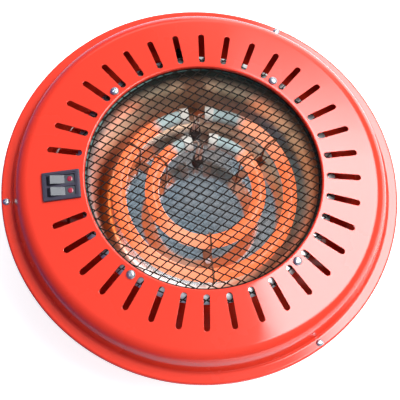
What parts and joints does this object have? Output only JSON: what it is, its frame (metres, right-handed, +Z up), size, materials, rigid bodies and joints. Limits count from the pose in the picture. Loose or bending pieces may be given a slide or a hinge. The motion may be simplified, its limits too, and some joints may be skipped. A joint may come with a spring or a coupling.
{
  "type": "electric brazier",
  "caption": "Low round electric brazier: slotted red cover over a bright bowl with glowing ring elements, dark expanded-metal guard, double rocker switch, pan base on rubber feet.",
  "frame": {"origin": "centre of the round body, on the floor under the feet", "axes": "+Z up along the body's axis, the switch on -X, the cable gland on +Y"},
  "size_m": [0.34, 0.34, 0.1073],
  "materials": {
    "body_red": "gloss red stoved paint",
    "mesh_dark": "dark heat-tinted steel",
    "bowl_bright": "polished",
    "tube_milky": "milky, glowing orange",
    "coil_wire": "oxidised resistance alloy",
    "ceramic_white": "matt",
    "ceramic_dark": "matt, smoke-darkened",
    "support_steel": "heat-tinted",
    "zinc_steel": "zinc plated",
    "switch_black": "moulded, fine texture",
    "rocker_black": "moulded, satin",
    "marker_red": "clear red",
    "tab_brass": "plain",
    "foot_rubber": "moulded",
    "gland_black": "moulded",
    "block_white": "moulded",
    "lead_brown": "silicone sleeve",
    "lead_blue": "silicone sleeve",
    "lead_green": "silicone sleeve"
  },
  "bodies": {
    "root": {"top_cover": "body_red", "base_pan": "body_red", "guard_mesh": "mesh_dark", "reflector": "bowl_bright", "outer_tube": "tube_milky", "inner_tube": "tube_milky", "outer_coil": "coil_wire", "inner_coil": "coil_wire", "outer_cap_right": "ceramic_white", "outer_cap_left": "ceramic_white", "inner_cap_right": "ceramic_white", "inner_cap_left": "ceramic_white", "outer_bushing": "ceramic_dark", "inner_bushing": "ceramic_dark", "outer_sleeves": "ceramic_white", "inner_sleeves": "ceramic_white", "support_strap_1": "support_steel", "support_strap_2": "support_steel", "support_strap_3": "support_steel", "outer_hook_1": "support_steel", "outer_hook_2": "support_steel", "outer_hook_3": "support_steel", "inner_hook_1": "support_steel", "inner_hook_2": "support_steel", "inner_hook_3": "support_steel", "strap_rivets": "zinc_steel", "switch_housing": "switch_black", "switch_tabs": "tab_brass", "mesh_screws": "zinc_steel", "rim_screws": "zinc_steel", "foot_1": "foot_rubber", "foot_2": "foot_rubber", "foot_3": "foot_rubber", "foot_screws": "zinc_steel", "foot_nuts": "zinc_steel", "cable_gland": "gland_black", "gland_nut": "gland_black", "terminal_block": "block_white", "clamp_screws": "tab_brass", "block_screw": "zinc_steel", "live_lead": "lead_brown", "outer_lead": "lead_brown", "inner_lead": "lead_brown", "outer_neutral": "lead_blue", "inner_neutral": "lead_blue", "earth_lead": "lead_green", "earth_tag": "tab_brass", "earth_screw": "zinc_steel"},
    "rocker_one": {"rocker_one": "rocker_black", "marker_one": "marker_red"},
    "rocker_two": {"rocker_two": "rocker_black", "marker_two": "marker_red"}
  },
  "joints": [
    {"name": "rocker_one_tilt", "type": "hinge", "parent": "root", "child": "rocker_one", "pos_m": [-0.11808, 0, 0.10067], "axis": [0, -1, 0], "range_deg": [0, 24]},
    {"name": "rocker_two_tilt", "type": "hinge", "parent": "root", "child": "rocker_two", "pos_m": [-0.11808, 0, 0.10067], "axis": [0, -1, 0], "range_deg": [0, 24]}
  ]
}
